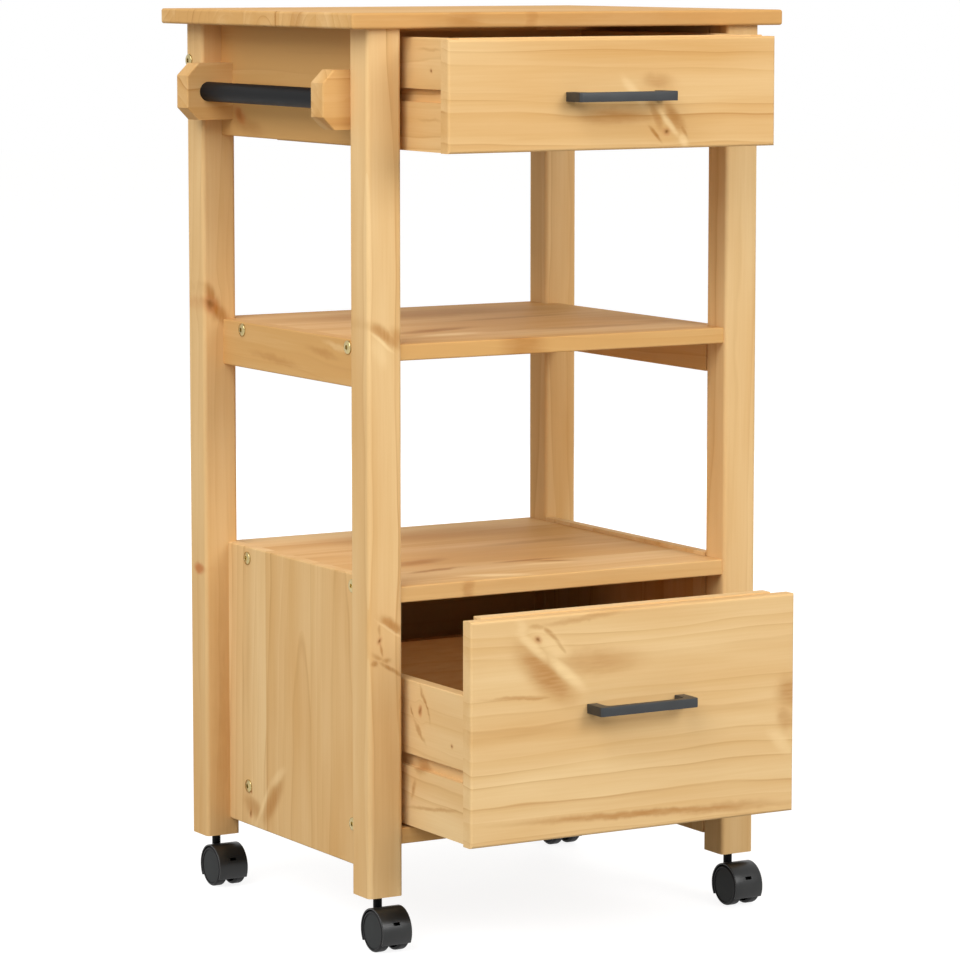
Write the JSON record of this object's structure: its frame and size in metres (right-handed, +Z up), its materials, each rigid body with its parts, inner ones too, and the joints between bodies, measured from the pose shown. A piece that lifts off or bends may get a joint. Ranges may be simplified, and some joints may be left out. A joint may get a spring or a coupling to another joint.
{
  "type": "kitchen cart",
  "caption": "Pine kitchen cart on casters with worktop, open shelf, two drawers with black bar handles and a black towel rail",
  "frame": {"origin": "on the floor under the centre of the worktop", "axes": "+X to the right seen from the drawer side, +Y towards the back, +Z up"},
  "size_m": [0.488, 0.5399, 0.89],
  "materials": {
    "pine": "clear lacquered pine",
    "plywood": "thin plywood",
    "yellow_zinc": "yellow zinc plated steel",
    "black_metal": "matt black paint",
    "steel": "zinc plated steel",
    "black_plastic": "black moulded",
    "wheel_plastic": "black moulded"
  },
  "bodies": {
    "cart_frame": {"tabletop": "pine", "front_left_leg": "pine", "front_right_leg": "pine", "rear_left_leg": "pine", "rear_right_leg": "pine", "left_apron": "pine", "right_apron": "pine", "rear_apron": "pine", "left_shelf_rail": "pine", "right_shelf_rail": "pine", "left_side_panel": "pine", "right_side_panel": "pine", "rear_panel": "plywood", "middle_shelf": "pine", "lower_shelf": "pine", "bottom_shelf": "pine", "upper_runners": "pine", "lower_runners": "pine", "front_towel_bracket": "pine", "rear_towel_bracket": "pine", "towel_rod": "black_metal", "frame_bolts": "yellow_zinc", "caster_sockets": "steel"},
    "upper_drawer": {"upper_drawer_front": "pine", "upper_drawer_inner_front": "pine", "upper_drawer_left_side": "pine", "upper_drawer_right_side": "pine", "upper_drawer_back": "pine", "upper_drawer_bottom": "plywood", "upper_handle": "black_metal", "upper_handle_screws": "steel"},
    "lower_drawer": {"lower_drawer_front": "pine", "lower_drawer_inner_front": "pine", "lower_drawer_left_side": "pine", "lower_drawer_right_side": "pine", "lower_drawer_back": "pine", "lower_drawer_bottom": "plywood", "lower_handle": "black_metal", "lower_handle_screws": "steel"},
    "front_left_caster": {"front_left_caster_hood": "black_plastic", "front_left_caster_stem": "black_metal", "front_left_caster_axle": "steel"},
    "front_left_caster_left_wheel": {"front_left_caster_left_wheel": "wheel_plastic"},
    "front_left_caster_right_wheel": {"front_left_caster_right_wheel": "wheel_plastic"},
    "front_right_caster": {"front_right_caster_hood": "black_plastic", "front_right_caster_stem": "black_metal", "front_right_caster_axle": "steel"},
    "front_right_caster_left_wheel": {"front_right_caster_left_wheel": "wheel_plastic"},
    "front_right_caster_right_wheel": {"front_right_caster_right_wheel": "wheel_plastic"},
    "rear_left_caster": {"rear_left_caster_hood": "black_plastic", "rear_left_caster_stem": "black_metal", "rear_left_caster_axle": "steel"},
    "rear_left_caster_left_wheel": {"rear_left_caster_left_wheel": "wheel_plastic"},
    "rear_left_caster_right_wheel": {"rear_left_caster_right_wheel": "wheel_plastic"},
    "rear_right_caster": {"rear_right_caster_hood": "black_plastic", "rear_right_caster_stem": "black_metal", "rear_right_caster_axle": "steel"},
    "rear_right_caster_left_wheel": {"rear_right_caster_left_wheel": "wheel_plastic"},
    "rear_right_caster_right_wheel": {"rear_right_caster_right_wheel": "wheel_plastic"}
  },
  "joints": [
    {"name": "upper_drawer_slide", "type": "slide", "parent": "cart_frame", "child": "upper_drawer", "axis": [0, -1, 0], "range_m": [-0.085, 0.13]},
    {"name": "lower_drawer_slide", "type": "slide", "parent": "cart_frame", "child": "lower_drawer", "axis": [0, -1, 0], "range_m": [-0.1254, 0.09]},
    {"name": "front_left_caster_swivel", "type": "hinge", "parent": "cart_frame", "child": "front_left_caster", "pos_m": [-0.201, -0.17175, 0.0512], "axis": [0, 0, 1], "continuous": true},
    {"name": "front_left_caster_left_wheel_roll", "type": "hinge", "parent": "front_left_caster", "child": "front_left_caster_left_wheel", "pos_m": [-0.201, -0.18905, 0.02], "axis": [1, 0, 0], "continuous": true},
    {"name": "front_left_caster_right_wheel_roll", "type": "hinge", "parent": "front_left_caster", "child": "front_left_caster_right_wheel", "pos_m": [-0.201, -0.18905, 0.02], "axis": [1, 0, 0], "continuous": true},
    {"name": "front_right_caster_swivel", "type": "hinge", "parent": "cart_frame", "child": "front_right_caster", "pos_m": [0.201, -0.17175, 0.0512], "axis": [0, 0, 1], "continuous": true},
    {"name": "front_right_caster_left_wheel_roll", "type": "hinge", "parent": "front_right_caster", "child": "front_right_caster_left_wheel", "pos_m": [0.201, -0.18905, 0.02], "axis": [1, 0, 0], "continuous": true},
    {"name": "front_right_caster_right_wheel_roll", "type": "hinge", "parent": "front_right_caster", "child": "front_right_caster_right_wheel", "pos_m": [0.201, -0.18905, 0.02], "axis": [1, 0, 0], "continuous": true},
    {"name": "rear_left_caster_swivel", "type": "hinge", "parent": "cart_frame", "child": "rear_left_caster", "pos_m": [-0.201, 0.16825, 0.0512], "axis": [0, 0, 1], "continuous": true},
    {"name": "rear_left_caster_left_wheel_roll", "type": "hinge", "parent": "rear_left_caster", "child": "rear_left_caster_left_wheel", "pos_m": [-0.201, 0.15095, 0.02], "axis": [1, 0, 0], "continuous": true},
    {"name": "rear_left_caster_right_wheel_roll", "type": "hinge", "parent": "rear_left_caster", "child": "rear_left_caster_right_wheel", "pos_m": [-0.201, 0.15095, 0.02], "axis": [1, 0, 0], "continuous": true},
    {"name": "rear_right_caster_swivel", "type": "hinge", "parent": "cart_frame", "child": "rear_right_caster", "pos_m": [0.201, 0.16825, 0.0512], "axis": [0, 0, 1], "continuous": true},
    {"name": "rear_right_caster_left_wheel_roll", "type": "hinge", "parent": "rear_right_caster", "child": "rear_right_caster_left_wheel", "pos_m": [0.201, 0.15095, 0.02], "axis": [1, 0, 0], "continuous": true},
    {"name": "rear_right_caster_right_wheel_roll", "type": "hinge", "parent": "rear_right_caster", "child": "rear_right_caster_right_wheel", "pos_m": [0.201, 0.15095, 0.02], "axis": [1, 0, 0], "continuous": true}
  ]
}
